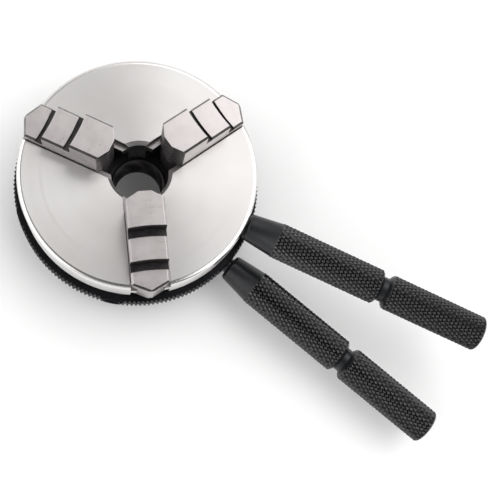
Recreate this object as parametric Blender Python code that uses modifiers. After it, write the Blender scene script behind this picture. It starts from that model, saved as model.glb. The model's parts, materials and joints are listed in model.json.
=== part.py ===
"""Three-jaw self-centring lathe chuck, 63 mm, standing on its rear face, with its two tommy bars fitted.

Sizes are in millimetres until they reach a mesh. Heights are measured up from the rear seating face.
Everything is modelled about the chuck's own axis, and one empty then carries the whole assembly, so that
the scene's origin lies under the middle of the chuck and its bars.
"""

import math

import bmesh
import bpy
from mathutils import Matrix, Vector

MM = 0.001
OVERCUT = 1.0  # how far a cutter runs past the surface it opens
GAP = 0.3  # air between pieces that meet face to face

# Chuck body
BODY_R = 31.5
FACE_Z = 25.5
BODY_SIDE = 10.2
BODY_UNDER_Z = FACE_Z - BODY_SIDE
EDGE_ROUND = 1.2
HUB_R = 14.0
HUB_END_Z = 6.6
BORE_R = 7.6
BORE_MOUTH_R = 8.5
BORE_MOUTH_DEPTH = 1.4
BORE_FLOOR_Z = 12.5
THREAD_MINOR_R = 6.55  # M14 x 1
THREAD_LEAD = 0.5
EDGE_BREAK = 0.4

# Jaw slots and the ribs that guide the jaws in them
JAW_COUNT = 3
JAW_STEP_DEG = 360.0 / JAW_COUNT
FIRST_JAW_DEG = -90.0
SLOT_W = 10.2
RIB_TOP_DEPTH = 2.2
RIB_BOTTOM_DEPTH = 5.2
RIB_REACH = 1.5
SLOT_FLOOR_Z = 12.9

# Scroll ring
SCROLL_R = 30.5
RING_R = 33.4
RING_TOP_Z = BODY_UNDER_Z - GAP
RING_RIM_Z = 13.0
RING_BOTTOM_Z = HUB_END_Z
RING_FIT = 0.15
PITCH = 3.0
GROOVE_W = 1.8
GROOVE_DEPTH = 2.0
SCROLL_R0 = 2.05  # where the spiral groove's middle line would start, on the chuck's +X side
RING_HOLE_COUNT = 6
RING_HOLE_DEG = -47.9

# Jaws: distances along the slot from the chuck's axis, and step heights above the chuck's face
JAW_W = 9.8
NOSE_W = 3.2
NOSE_U = 8.2
NOSE_HALF_ANGLE_DEG = 59.5
STEP_TOPS = (11.5, 7.2, 2.7)
STEP_ENDS = (17.1, 24.95)
RISER_R = 40.0
RELIEF_W = 1.95
RELIEF_DEPTH = 0.9
TAIL_U = 30.3
TAIL_TIP_U = 32.4
TAIL_TIP_W = 1.2
GUIDE_GAP = 0.15
TOOTH_W = 1.3
TEETH = 5
OUTERMOST_TOOTH_U = 27.3
TOOTH_TIP_Z = RING_TOP_Z - GROOVE_DEPTH + 0.25
TOOTH_INNER_R = 34.0
TOOTH_OUTER_R = 14.0
ARC_STEPS = 6

# Back plate and its cap screws
PLATE_R = 29.5
PLATE_TOP_Z = HUB_END_Z - GAP
PLATE_CHAMFER = 1.0
SCREW_CIRCLE_R = 10.4
SCREW_HEAD_R = 2.75
SCREW_HEAD_H = 3.0
SCREW_SHANK_R = 1.25
SCREW_LENGTH = 7.2
SCREW_SINK = 0.2
SCREW_SOCKET_AF = 2.5
SCREW_SOCKET_DEPTH = 1.5
SCREW_CHAMFER = 0.3
COUNTERBORE_R = 3.05
COUNTERBORE_DEPTH = 3.5
CLEARANCE_R = 1.7
TAPPED_R = 1.5
TAPPED_DEPTH = 5.2

# Tommy bars, measured outward from the shoulder that stops them
BAR_R = 5.0
PIN_R = 2.2
PIN_LENGTH = 10.5
NECK_R = 3.8
NECK_ROUND = 1.1
NECK_LENGTH = 8.9
NECK_END_R = 4.8
KNURL_RAMP = 0.35
LONG_KNURL = 31.2
GROOVE_LENGTH = 2.7
GROOVE_R = 3.5
SHORT_KNURL = 29.1
BAR_END_ROUND = 1.1
BAR_HOLE_R = 2.5
HOLE_DEPTH = PIN_LENGTH + 0.6
SPOT_FACE_R = 3.2
SPOT_FACE_DEPTH = 0.35
BODY_BAR_DEG = -30.5
BODY_BAR_Z = 20.4
RING_BAR_Z = 0.5 * (RING_BOTTOM_Z + RING_RIM_Z)
RING_BAR_LEAN_DEG = 2.5
LEANING_GAP = 0.6  # a leaning bar cannot seat squarely

# Facets
BIG_SEGMENTS = 72
BAR_SEGMENTS = 24
SCREW_SEGMENTS = 24
HOLE_SEGMENTS = 16
SPIRAL_STEP_DEG = 10.0
ROUND_STEPS = 3

SHARP = math.radians(30.0)
WELD = 1e-6


def clear_scene():
    for obj in list(bpy.data.objects):
        bpy.data.objects.remove(obj, do_unlink=True)


def collection(name):
    made = bpy.data.collections.new(name)
    bpy.context.scene.collection.children.link(made)
    return made


def material(name, colour, roughness, metallic):
    made = bpy.data.materials.new(name)
    made.use_nodes = True
    shader = made.node_tree.nodes["Principled BSDF"]
    shader.inputs["Base Color"].default_value = (*colour, 1.0)
    shader.inputs["Roughness"].default_value = roughness
    shader.inputs["Metallic"].default_value = metallic
    made.diffuse_color = (*colour, 1.0)
    return made


def arc(centre, radius, start_deg, end_deg, steps):
    """Points on an arc, both ends included."""
    turns = [math.radians(start_deg + (end_deg - start_deg) * i / steps) for i in range(steps + 1)]
    return [(centre[0] + radius * math.cos(a), centre[1] + radius * math.sin(a)) for a in turns]


def evaluated_mesh(obj):
    graph = bpy.context.evaluated_depsgraph_get()
    mesh = bpy.data.meshes.new_from_object(obj.evaluated_get(graph))
    made = bmesh.new()
    made.from_mesh(mesh)
    bmesh.ops.remove_doubles(made, verts=made.verts, dist=WELD)
    made.to_mesh(mesh)
    made.free()
    return mesh


def settled(obj):
    """Replaces the object's mesh or curve and its modifiers by the mesh they make."""
    mesh = evaluated_mesh(obj)
    name, home, place = obj.name, obj.users_collection[0], obj.matrix_world.copy()
    bpy.data.objects.remove(obj, do_unlink=True)
    mesh.name = name
    made = bpy.data.objects.new(name, mesh)
    made.matrix_world = place
    home.objects.link(made)
    return made


def turned(name, home, profile, segments, closed):
    """A profile of (radius, height) spun about Z. It runs down the outer side."""
    mesh = bpy.data.meshes.new(name)
    last = len(profile) if closed else len(profile) - 1
    edges = [(i, (i + 1) % len(profile)) for i in range(last)]
    mesh.from_pydata([(r * MM, 0.0, z * MM) for r, z in profile], edges, [])
    obj = bpy.data.objects.new(name, mesh)
    home.objects.link(obj)
    screw = obj.modifiers.new("Turn", "SCREW")
    screw.steps = screw.render_steps = segments
    screw.use_merge_vertices = True
    screw.merge_threshold = WELD
    return settled(obj)


def plate(name, home, outline, low, high):
    """A flat outline with a thickness, from one height to another."""
    curve = bpy.data.curves.new(name, "CURVE")
    curve.dimensions = "2D"
    curve.fill_mode = "BOTH"
    curve.extrude = (high - low) / 2.0 * MM
    spline = curve.splines.new("POLY")
    spline.points.add(len(outline) - 1)
    for point, (x, y) in zip(spline.points, outline):
        point.co = (x * MM, y * MM, 0.0, 1.0)
    spline.use_cyclic_u = True
    obj = bpy.data.objects.new(name, curve)
    home.objects.link(obj)
    made = settled(obj)
    made.data.transform(Matrix.Translation((0.0, 0.0, (low + high) / 2.0 * MM)))
    bm = bmesh.new()
    bm.from_mesh(made.data)
    bmesh.ops.recalc_face_normals(bm, faces=bm.faces)
    bm.to_mesh(made.data)
    bm.free()
    return made


def rod(name, home, radius, low, high, segments):
    """A cylinder along Z."""
    bm = bmesh.new()
    bmesh.ops.create_cone(
        bm,
        cap_ends=True,
        segments=segments,
        radius1=radius * MM,
        radius2=radius * MM,
        depth=(high - low) * MM,
        matrix=Matrix.Translation((0.0, 0.0, (low + high) / 2.0 * MM)),
    )
    mesh = bpy.data.meshes.new(name)
    bm.to_mesh(mesh)
    bm.free()
    obj = bpy.data.objects.new(name, mesh)
    home.objects.link(obj)
    return obj


def cut(obj, cutter):
    cutter.hide_render = True
    cutter.display_type = "WIRE"
    boolean = obj.modifiers.new(cutter.name, "BOOLEAN")
    boolean.object = cutter
    boolean.operation = "DIFFERENCE"
    boolean.solver = "EXACT"


def finish(obj, look, carrier):
    obj.data.materials.clear()
    obj.data.materials.append(look)
    obj.data.shade_smooth()
    obj.data.set_sharp_from_angle(angle=SHARP)
    obj.parent = carrier


def spoke(angle_deg, height):
    """Turns local +Z to point outward along a radius at this height, with local +X pointing up."""
    outward = Vector((math.cos(math.radians(angle_deg)), math.sin(math.radians(angle_deg)), 0.0))
    up = Vector((0.0, 0.0, 1.0))
    across = outward.cross(up)
    turn = Matrix((up, across, outward)).transposed().to_4x4()
    return Matrix.Translation((0.0, 0.0, height * MM)) @ turn


def jaw_angle(index):
    return FIRST_JAW_DEG + index * JAW_STEP_DEG


def slot_outline():
    """The slot's cross-section, (across, height): two ribs stand into it from its sides."""
    half = SLOT_W / 2.0
    waist = half - RIB_REACH
    rib_top = FACE_Z - RIB_TOP_DEPTH
    rib_bottom = FACE_Z - RIB_BOTTOM_DEPTH
    right = [
        (half, SLOT_FLOOR_Z),
        (half, rib_bottom),
        (waist, rib_bottom),
        (waist, rib_top),
        (half, rib_top),
        (half, FACE_Z + OVERCUT),
    ]
    return right + [(-x, z) for x, z in reversed(right)]


def cut_slots(body, cutters):
    """One slot for each jaw, from the bore out through the rim."""
    stand = Matrix.Rotation(math.radians(90.0), 4, "X")
    along = Matrix.Rotation(math.radians(90.0), 4, "Z")
    for i in range(JAW_COUNT):
        slot = plate(f"slot_cutter_{i + 1}", cutters, slot_outline(), BORE_R / 2.0, BODY_R + 2.0 * OVERCUT)
        slot.data.transform(along @ stand)
        slot.matrix_world = Matrix.Rotation(math.radians(jaw_angle(i)), 4, "Z")
        cut(body, slot)


def cut_bar_hole(obj, cutters, name, radius, angle_deg, height, bottom_r, rim_r):
    """A radial hole from the rim down to a distance from the chuck's axis."""
    bore = rod(name, cutters, radius, bottom_r, rim_r + OVERCUT, HOLE_SEGMENTS)
    bore.matrix_world = spoke(angle_deg, height)
    cut(obj, bore)


def screw_angle(index):
    return jaw_angle(index) + 0.5 * JAW_STEP_DEG


def at_screw(index):
    a = math.radians(screw_angle(index))
    return Matrix.Translation((SCREW_CIRCLE_R * math.cos(a) * MM, SCREW_CIRCLE_R * math.sin(a) * MM, 0.0))


def front_body(parts, cutters):
    """The ground steel body: a thick disc with three ribbed slots and a hub for the scroll ring behind it."""
    edge = arc((BODY_R - EDGE_ROUND, FACE_Z - EDGE_ROUND), EDGE_ROUND, 90.0, 0.0, ROUND_STEPS)
    profile = edge + [
        (BODY_R, BODY_UNDER_Z + EDGE_BREAK),
        (BODY_R - EDGE_BREAK, BODY_UNDER_Z),
        (HUB_R, BODY_UNDER_Z),
        (HUB_R, HUB_END_Z),
        (THREAD_MINOR_R, HUB_END_Z),
        (THREAD_MINOR_R, BORE_FLOOR_Z - (BORE_R - THREAD_MINOR_R)),
        (BORE_R, BORE_FLOOR_Z),
        (BORE_R, FACE_Z - BORE_MOUTH_DEPTH),
        (BORE_MOUTH_R, FACE_Z),
    ]
    body = turned("front_body", parts, profile, BIG_SEGMENTS, closed=True)
    cut_slots(body, cutters)
    place = (BODY_BAR_DEG, BODY_BAR_Z)
    cut_bar_hole(body, cutters, "body_hole", BAR_HOLE_R, *place, BODY_R - HOLE_DEPTH, BODY_R)
    cut_bar_hole(body, cutters, "body_spot", SPOT_FACE_R, *place, BODY_R - SPOT_FACE_DEPTH, BODY_R)
    for i in range(JAW_COUNT):
        top = HUB_END_Z + TAPPED_DEPTH
        tapped = rod(f"tapped_hole_{i + 1}", cutters, TAPPED_R, HUB_END_Z - OVERCUT, top, HOLE_SEGMENTS)
        tapped.matrix_world = at_screw(i)
        cut(body, tapped)
    return body


def spiral_radius(turn_deg):
    return SCROLL_R0 + PITCH * turn_deg / 360.0


def scroll_groove(cutters):
    """The spiral groove's cutter: a ribbon standing along the spiral, thickened to the groove's width."""
    first = 360.0 * (HUB_R - 2.0 - SCROLL_R0) / PITCH
    last = 360.0 * (SCROLL_R + 1.5 - SCROLL_R0) / PITCH
    steps = math.ceil((last - first) / SPIRAL_STEP_DEG)
    bm = bmesh.new()
    below = None
    floor = (RING_TOP_Z - GROOVE_DEPTH) * MM
    for i in range(steps + 1):
        turn = first + (last - first) * i / steps
        x = spiral_radius(turn) * math.cos(math.radians(turn)) * MM
        y = spiral_radius(turn) * math.sin(math.radians(turn)) * MM
        vert = bm.verts.new((x, y, floor))
        if below is not None:
            bm.edges.new((below, vert))
        below = vert
    grown = bmesh.ops.extrude_edge_only(bm, edges=bm.edges)
    risen = [item for item in grown["geom"] if isinstance(item, bmesh.types.BMVert)]
    bmesh.ops.translate(bm, verts=risen, vec=(0.0, 0.0, (GROOVE_DEPTH + OVERCUT) * MM))
    bmesh.ops.recalc_face_normals(bm, faces=bm.faces)
    mesh = bpy.data.meshes.new("scroll_groove")
    bm.to_mesh(mesh)
    bm.free()
    obj = bpy.data.objects.new("scroll_groove", mesh)
    cutters.objects.link(obj)
    thick = obj.modifiers.new("Thicken", "SOLIDIFY")
    thick.thickness = GROOVE_W * MM
    thick.offset = 0.0
    thick.use_even_offset = True
    return settled(obj)


def scroll_ring(parts, cutters):
    """The black ring behind the body: a spiral on its front drives the jaws, and its rim takes a tommy bar."""
    profile = [
        (SCROLL_R, RING_TOP_Z),
        (SCROLL_R, RING_RIM_Z),
        (RING_R - EDGE_BREAK, RING_RIM_Z),
        (RING_R, RING_RIM_Z - EDGE_BREAK),
        (RING_R, RING_BOTTOM_Z + EDGE_BREAK),
        (RING_R - EDGE_BREAK, RING_BOTTOM_Z),
        (HUB_R + RING_FIT, RING_BOTTOM_Z),
        (HUB_R + RING_FIT, RING_TOP_Z),
    ]
    ring = turned("scroll_ring", parts, profile, BIG_SEGMENTS, closed=True)
    cut(ring, scroll_groove(cutters))
    for i in range(RING_HOLE_COUNT):
        place = (RING_HOLE_DEG + i * 360.0 / RING_HOLE_COUNT, RING_BAR_Z)
        cut_bar_hole(ring, cutters, f"ring_hole_{i + 1}", BAR_HOLE_R, *place, RING_R - HOLE_DEPTH, RING_R)
    return ring


def back_plate(parts, cutters):
    """The plate that keeps the scroll ring on the hub, with the rest of the spindle thread's bore."""
    profile = [
        (PLATE_R - EDGE_BREAK, PLATE_TOP_Z),
        (PLATE_R, PLATE_TOP_Z - EDGE_BREAK),
        (PLATE_R, PLATE_CHAMFER),
        (PLATE_R - PLATE_CHAMFER, 0.0),
        (THREAD_MINOR_R + THREAD_LEAD, 0.0),
        (THREAD_MINOR_R, THREAD_LEAD),
        (THREAD_MINOR_R, PLATE_TOP_Z),
    ]
    disc = turned("back_plate", parts, profile, BIG_SEGMENTS, closed=True)
    for i in range(JAW_COUNT):
        head = rod(f"counterbore_{i + 1}", cutters, COUNTERBORE_R, -OVERCUT, COUNTERBORE_DEPTH, SCREW_SEGMENTS)
        head.matrix_world = at_screw(i)
        cut(disc, head)
        shank = rod(f"clearance_{i + 1}", cutters, CLEARANCE_R, -OVERCUT, PLATE_TOP_Z + OVERCUT, HOLE_SEGMENTS)
        shank.matrix_world = at_screw(i)
        cut(disc, shank)
    return disc


def plate_screw(parts, cutters, index):
    """A socket head cap screw, head down, from the back plate up into the hub."""
    head_top = SCREW_SINK + SCREW_HEAD_H
    end = head_top + SCREW_LENGTH
    profile = [
        (0.0, end),
        (SCREW_SHANK_R - SCREW_CHAMFER, end),
        (SCREW_SHANK_R, end - SCREW_CHAMFER),
        (SCREW_SHANK_R, head_top),
        (SCREW_HEAD_R, head_top),
        (SCREW_HEAD_R, SCREW_SINK + SCREW_CHAMFER),
        (SCREW_HEAD_R - SCREW_CHAMFER, SCREW_SINK),
        (0.0, SCREW_SINK),
    ]
    screw = turned(f"plate_screw_{index + 1}", parts, profile, SCREW_SEGMENTS, closed=False)
    corner = SCREW_SOCKET_AF / math.sqrt(3.0)
    depth = SCREW_SINK + SCREW_SOCKET_DEPTH
    socket = rod(f"socket_{index + 1}", cutters, corner, -OVERCUT, depth, 6)
    socket.matrix_world = at_screw(index)
    screw.matrix_world = at_screw(index)
    cut(screw, socket)
    return screw


def bow(u_mid, radius, half):
    """An arc across a jaw, (along, across), through u_mid on its centre line. It bulges outward."""
    across = [half * (2.0 * i / ARC_STEPS - 1.0) for i in range(ARC_STEPS + 1)]
    return [(u_mid - radius + math.sqrt(radius**2 - t**2), t) for t in across]


def hollow(u_mid, radius, half):
    """The same, but bulging towards the chuck's axis, as a cutter coming in from outside leaves it."""
    return [(2.0 * u_mid - u, t) for u, t in bow(u_mid, radius, half)]


def jaw_plan():
    """The jaw's outline from above: a blunt nose, straight sides and a pointed tail."""
    half = JAW_W / 2.0
    nose = NOSE_W / 2.0
    shoulder = NOSE_U + (half - nose) / math.tan(math.radians(NOSE_HALF_ANGLE_DEG))
    upper = [(NOSE_U, nose), (shoulder, half), (TAIL_U, half), (TAIL_TIP_U, TAIL_TIP_W / 2.0)]
    return upper + [(u, -t) for u, t in reversed(upper)]


def beyond(boundary, far_u):
    """The region from a boundary arc outward to far_u."""
    return boundary + [(far_u, boundary[-1][1]), (far_u, boundary[0][1])]


def cut_steps(jaw, cutters, name, place):
    """Takes the jaw down in steps, each with a hollow riser and a relief groove at the riser's foot."""
    wide = JAW_W / 2.0 + OVERCUT
    far = TAIL_TIP_U + 3.0 * OVERCUT
    for i, end in enumerate(STEP_ENDS):
        riser = hollow(end, RISER_R, wide)
        low = FACE_Z + STEP_TOPS[i + 1]
        step = plate(f"{name}_step_{i + 1}", cutters, beyond(riser, far), low, FACE_Z + STEP_TOPS[0] + OVERCUT)
        step.matrix_world = place
        cut(jaw, step)
        edge = hollow(end + RELIEF_W, RISER_R, wide)
        band = riser + list(reversed(edge))
        relief = plate(f"{name}_relief_{i + 1}", cutters, band, low - RELIEF_DEPTH, low + OVERCUT)
        relief.matrix_world = place
        cut(jaw, relief)


def cut_guides(jaw, cutters, name, place):
    """The grooves along the jaw's sides that run on the slot's ribs."""
    depth = JAW_W / 2.0 - (SLOT_W / 2.0 - RIB_REACH - GUIDE_GAP)
    low = FACE_Z - RIB_BOTTOM_DEPTH - GUIDE_GAP
    high = FACE_Z - RIB_TOP_DEPTH + GUIDE_GAP
    for side in (-1.0, 1.0):
        inner = side * (JAW_W / 2.0 - depth)
        outer = side * (JAW_W / 2.0 + OVERCUT)
        outline = [(0.0, inner), (BODY_R + 5.0, inner), (BODY_R + 5.0, outer), (0.0, outer)]
        word = "left" if side > 0.0 else "right"
        groove = plate(f"{name}_guide_{word}", cutters, outline, low, high)
        groove.matrix_world = place
        cut(jaw, groove)


def tooth_places(index):
    """Where this jaw's teeth lie along it, so that each stands in the middle of the spiral groove."""
    offset = spiral_radius(jaw_angle(index)) % PITCH
    last = offset + PITCH * math.floor((OUTERMOST_TOOTH_U - offset) / PITCH + 1e-6)
    return [last - PITCH * i for i in reversed(range(TEETH))]


def cut_teeth(jaw, cutters, name, place, index):
    """Clears the jaw's underside except for its teeth. A tooth's outer flank is the more sharply curved one."""
    wide = JAW_W / 2.0 + OVERCUT
    places = tooth_places(index)
    bounds = [[(0.0, -wide), (0.0, wide)]]
    for u in places:
        bounds.append(bow(u - TOOTH_W / 2.0, TOOTH_INNER_R, wide))
        bounds.append(bow(u + TOOTH_W / 2.0, TOOTH_OUTER_R, wide))
    bounds.append([(TAIL_TIP_U + OVERCUT, -wide), (TAIL_TIP_U + OVERCUT, wide)])
    for i in range(0, len(bounds), 2):
        outline = bounds[i] + list(reversed(bounds[i + 1]))
        clearing = plate(f"{name}_gap_{i // 2}", cutters, outline, TOOTH_TIP_Z - OVERCUT, BODY_UNDER_Z)
        clearing.matrix_world = place
        cut(jaw, clearing)


def jaw_piece(parts, cutters, index):
    """A stepped jaw: the scroll moves it along its slot by the teeth underneath."""
    name = f"jaw_{index + 1}"
    place = Matrix.Rotation(math.radians(jaw_angle(index)), 4, "Z")
    jaw = plate(name, parts, jaw_plan(), TOOTH_TIP_Z, FACE_Z + STEP_TOPS[0])
    jaw.matrix_world = place
    cut_steps(jaw, cutters, name, place)
    cut_guides(jaw, cutters, name, place)
    cut_teeth(jaw, cutters, name, place, index)
    return jaw


def bar_profile():
    """Half the bar's section from its far end down to its pin, (radius, distance from the shoulder)."""
    groove = NECK_LENGTH + LONG_KNURL
    short_knurl = groove + GROOVE_LENGTH
    end = short_knurl + SHORT_KNURL
    rounded = arc((BAR_R - BAR_END_ROUND, end - BAR_END_ROUND), BAR_END_ROUND, 90.0, 0.0, ROUND_STEPS)
    corner = arc((NECK_R - NECK_ROUND, NECK_ROUND), NECK_ROUND, 0.0, -90.0, ROUND_STEPS)
    return [
        (0.0, end),
        *rounded,
        (BAR_R, short_knurl),
        (GROOVE_R, short_knurl - KNURL_RAMP),
        (GROOVE_R, groove + KNURL_RAMP),
        (BAR_R, groove),
        (BAR_R, NECK_LENGTH + KNURL_RAMP),
        (NECK_END_R, NECK_LENGTH),
        *corner,
        (PIN_R, 0.0),
        (PIN_R, EDGE_BREAK - PIN_LENGTH),
        (PIN_R - EDGE_BREAK, -PIN_LENGTH),
        (0.0, -PIN_LENGTH),
    ]


def tommy_bar(name, parts, angle_deg, height, rim_r, gap, lean_deg):
    """A knurled bar whose pin sits in a radial hole. A loose pin lets it lean about the middle of the hole."""
    bar = turned(name, parts, bar_profile(), BAR_SEGMENTS, closed=False)
    middle = Matrix.Translation((0.0, 0.0, (rim_r - PIN_LENGTH / 2.0) * MM))
    out = Matrix.Translation((0.0, 0.0, (gap + PIN_LENGTH / 2.0) * MM))
    lean = Matrix.Rotation(math.radians(lean_deg), 4, "X")
    bar.matrix_world = spoke(angle_deg, height) @ middle @ lean @ out
    return bar


def centre_on_origin(carrier, objects):
    """Moves the whole assembly so that the origin lies under the middle of its outline."""
    bpy.context.view_layer.update()
    graph = bpy.context.evaluated_depsgraph_get()
    corners = []
    for obj in objects:
        shape = obj.evaluated_get(graph)
        corners += [shape.matrix_world @ Vector(corner) for corner in shape.bound_box]
    for axis in range(2):
        values = [corner[axis] for corner in corners]
        carrier.location[axis] = -(min(values) + max(values)) / 2.0


def main():
    clear_scene()
    parts = collection("lathe_chuck")
    cutters = collection("cutters")
    carrier = bpy.data.objects.new("chuck_axis", None)
    parts.objects.link(carrier)
    ground_steel = material("ground_steel", (0.78, 0.76, 0.75), 0.28, 1.0)
    jaw_steel = material("jaw_steel", (0.72, 0.69, 0.68), 0.32, 1.0)
    black_oxide = material("black_oxide", (0.03, 0.03, 0.032), 0.42, 0.6)
    screw_black = material("screw_black", (0.05, 0.05, 0.05), 0.35, 0.8)

    pieces = [(front_body(parts, cutters), ground_steel)]
    pieces.append((scroll_ring(parts, cutters), black_oxide))
    pieces.append((back_plate(parts, cutters), black_oxide))
    pieces += [(jaw_piece(parts, cutters, i), jaw_steel) for i in range(JAW_COUNT)]
    pieces += [(plate_screw(parts, cutters, i), screw_black) for i in range(JAW_COUNT)]
    body_bar = tommy_bar("body_bar", parts, BODY_BAR_DEG, BODY_BAR_Z, BODY_R, GAP, 0.0)
    ring_bar = tommy_bar("ring_bar", parts, RING_HOLE_DEG, RING_BAR_Z, RING_R, LEANING_GAP, RING_BAR_LEAN_DEG)
    pieces += [(body_bar, black_oxide), (ring_bar, black_oxide)]
    for obj, look in pieces:
        finish(obj, look, carrier)
    for cutter in cutters.objects:
        cutter.parent = carrier
    centre_on_origin(carrier, [obj for obj, _ in pieces])


main()
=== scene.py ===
"""The looks of the lathe chuck.

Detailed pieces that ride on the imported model's bodies, their materials, the light and the camera. Sizes
are in millimetres until they reach a mesh, heights are above the rear seating face, and everything is laid
out about the chuck's own axis, which the scroll's joint gives. A jaw's lengths along its slot are measured
from that axis, at the position in the photo.
"""

import json
import math

import bmesh
import bpy
from mathutils import Matrix, Vector

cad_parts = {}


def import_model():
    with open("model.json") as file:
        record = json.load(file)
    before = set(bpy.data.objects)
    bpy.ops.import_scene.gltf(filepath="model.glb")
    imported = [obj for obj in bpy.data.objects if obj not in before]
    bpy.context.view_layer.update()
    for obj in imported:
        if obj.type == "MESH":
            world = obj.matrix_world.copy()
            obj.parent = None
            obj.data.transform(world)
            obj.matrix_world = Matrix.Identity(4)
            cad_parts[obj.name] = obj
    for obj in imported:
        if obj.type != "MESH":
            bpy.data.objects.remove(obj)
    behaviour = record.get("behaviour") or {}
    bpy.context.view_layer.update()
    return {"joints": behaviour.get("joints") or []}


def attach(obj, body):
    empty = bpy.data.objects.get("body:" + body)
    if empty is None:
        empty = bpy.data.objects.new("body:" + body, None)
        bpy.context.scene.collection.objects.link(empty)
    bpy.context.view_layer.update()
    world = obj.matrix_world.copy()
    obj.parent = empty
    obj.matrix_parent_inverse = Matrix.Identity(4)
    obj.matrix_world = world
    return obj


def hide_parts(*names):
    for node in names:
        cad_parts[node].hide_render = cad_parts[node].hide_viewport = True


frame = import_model()

MM = 0.001
OVERCUT = 1.0
CLOSE = 0.01  # slack when faces are told apart by where they lie, as is NEAR
NEAR = 0.1
TINY = 1e-6
WELD_M = 1e-7
ROUND_SEGMENTS = 192

BODY_R = 31.5
FACE_Z = 25.5
BODY_UNDER_Z = 15.3
EDGE_ROUND = 1.2
EDGE_LIP = 0.05
EDGE_BREAK = 0.4
HUB_R = 14.0
HUB_END_Z = 6.6
BORE_R = 7.6
BORE_MOUTH_R = 8.5
BORE_MOUTH_DEPTH = 1.4
BORE_FLOOR_Z = 12.5
THREAD_MINOR_R = 6.55
THREAD_MAJOR_R = 7.05
THREAD_PITCH = 1.0
THREAD_BORE_R = THREAD_MAJOR_R + 0.05
THREAD_SLEEVE_R = THREAD_MAJOR_R + 0.3
THREAD_END_GAP = 0.05
THREAD_CREST = 0.12  # share of the pitch, and FLANKS is that of the two flanks together
THREAD_FLANKS = 0.76
THREAD_SEGMENTS = 72
THREAD_ROWS_PER_TURN = 8

JAWS = 3
SLOT_W = 10.2
RIB_TOP_DEPTH = 2.2
RIB_BOTTOM_DEPTH = 5.2
RIB_REACH = 1.5
SLOT_FLOOR_Z = 12.9
SLOT_EDGE = 0.12

SCROLL_R = 30.5
SCROLL_BORE_R = HUB_R + 0.15
RING_R = 33.4
RING_TOP_Z = 15.0
RING_RIM_Z = 13.0
RING_KNURLS = 176
RING_KNURL_DEPTH = 0.5
RING_KNURL_PROUD = 0.1
RING_KNURL_ROOT = (0.36, 0.64)  # where a tooth's root starts and ends, as shares of its width
PITCH = 3.0
GROOVE_W = 1.8
GROOVE_DEPTH = 2.0
GROOVE_RUN_IN = 2.0
GROOVE_RUN_OUT = 1.5
GROOVE_STEP_DEG = 5.0
SCROLL_R0 = 2.05
RING_HOLES = 6
RING_COLLAR_R = 3.05
HOLE_CHAMFER = 0.3
RING_HOLE_DEG = -47.9

JAW_W = 9.8
NOSE_W = 3.2
NOSE_U = 8.2
NOSE_HALF_ANGLE_DEG = 59.5
SHOULDER_U = NOSE_U + (JAW_W / 2.0 - NOSE_W / 2.0) / math.tan(math.radians(NOSE_HALF_ANGLE_DEG))
STEP_TOPS = (11.5, 7.2, 2.7)
STEP_ENDS = (17.1, 24.95)
RISER_R = 40.0
RISER_BOW = 0.3  # how much further out a riser's ends lie than its middle
BOW_STEPS = 16
RELIEF_W = 1.95
RELIEF_DEPTH = 0.9
TAIL_U = 30.3
TAIL_TIP_U = 32.4
TAIL_TIP_W = 1.2
GUIDE_GAP = 0.15
JAW_CHAMFER = 0.55
JAW_BREAK = 0.07
JAW_BREAK_ANGLE_DEG = 40.0
# A jaw's faces below this level lie down in the slot and get painted shade.
JAW_PAINTED_SHADE_BELOW = -1.9  # height above the body's face
SERRATIONS = 8
SERRATION_PITCH = 2.5
SERRATION_DEPTH = 0.35
SERRATION_START = 1.9
SERRATION_MOUTH = 1.1
SERRATION_ROOT = 0.1
TOOTH_W = 1.3
TEETH = 5
OUTERMOST_TOOTH_U = 27.3
TOOTH_TIP_Z = 13.25
TOOTH_INNER_R = 34.0
TOOTH_OUTER_R = 14.0

PLATE_R = 29.5
PLATE_TOP_Z = 6.3
PLATE_CHAMFER = 1.0
PLATE_BORE_CHAMFER = 0.3
SCREW_CIRCLE_R = 10.4
SCREW_HEAD_R = 2.75
SCREW_HEAD_H = 3.0
SCREW_HEAD_ROUND = 0.35
SCREW_TIP_CHAMFER = 0.3
SCREW_SHANK_R = 1.25
SCREW_LENGTH = 7.2
SCREW_SINK = 0.2
SCREW_SOCKET_AF = 2.5
SCREW_SOCKET_DEPTH = 1.5
COUNTERBORE_R = 3.05
COUNTERBORE_DEPTH = 3.5
CLEARANCE_R = 1.7
TAPPED_R = 1.5
TAPPED_DEPTH = 5.2

BAR_R = 5.0
PIN_R = 2.2
PIN_LENGTH = 10.5
NECK_R = 3.8
NECK_ROUND = 1.1
NECK_LENGTH = 8.9
NECK_END_R = 4.8
KNURL_RAMP = 0.35
LONG_KNURL = 31.2
GROOVE_LENGTH = 2.7
GROOVE_R = 3.5
GROOVE_CORNER = 0.3
GROOVE_SHOULDER = 0.55
SHORT_KNURL = 29.0
BAR_END_ROUND = 1.1
BAR_KNURLS = 27
BAR_KNURL_LENGTH = 2.25
BAR_KNURL_DEPTH = 0.36
BAR_KNURL_PROUD = 0.08
LONG_KNURL_MARGINS = (0.1, 0.15)
SHORT_KNURL_MARGINS = (0.25, 0.6)
BAR_KNURLED_FROM_R = BAR_R - BAR_KNURL_DEPTH - 0.15
KNURL_RUN_IN = 2.0
KNURL_RUN_OUT = 4.0
BAR_HOLE_R = 2.5
HOLE_DEPTH = 11.1
SPOT_FACE_R = 3.2
SPOT_FACE_DEPTH = 0.35
BODY_BAR_DEG = -30.5
BODY_BAR_Z = 20.4
BODY_BAR_GAP = 0.3
RING_BAR_Z = 9.8
RING_BAR_LEAN_DEG = 2.5
RING_BAR_GAP = 0.6

PAPER_R = 2400.0
PAPER_COVE_R = 900.0

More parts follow.
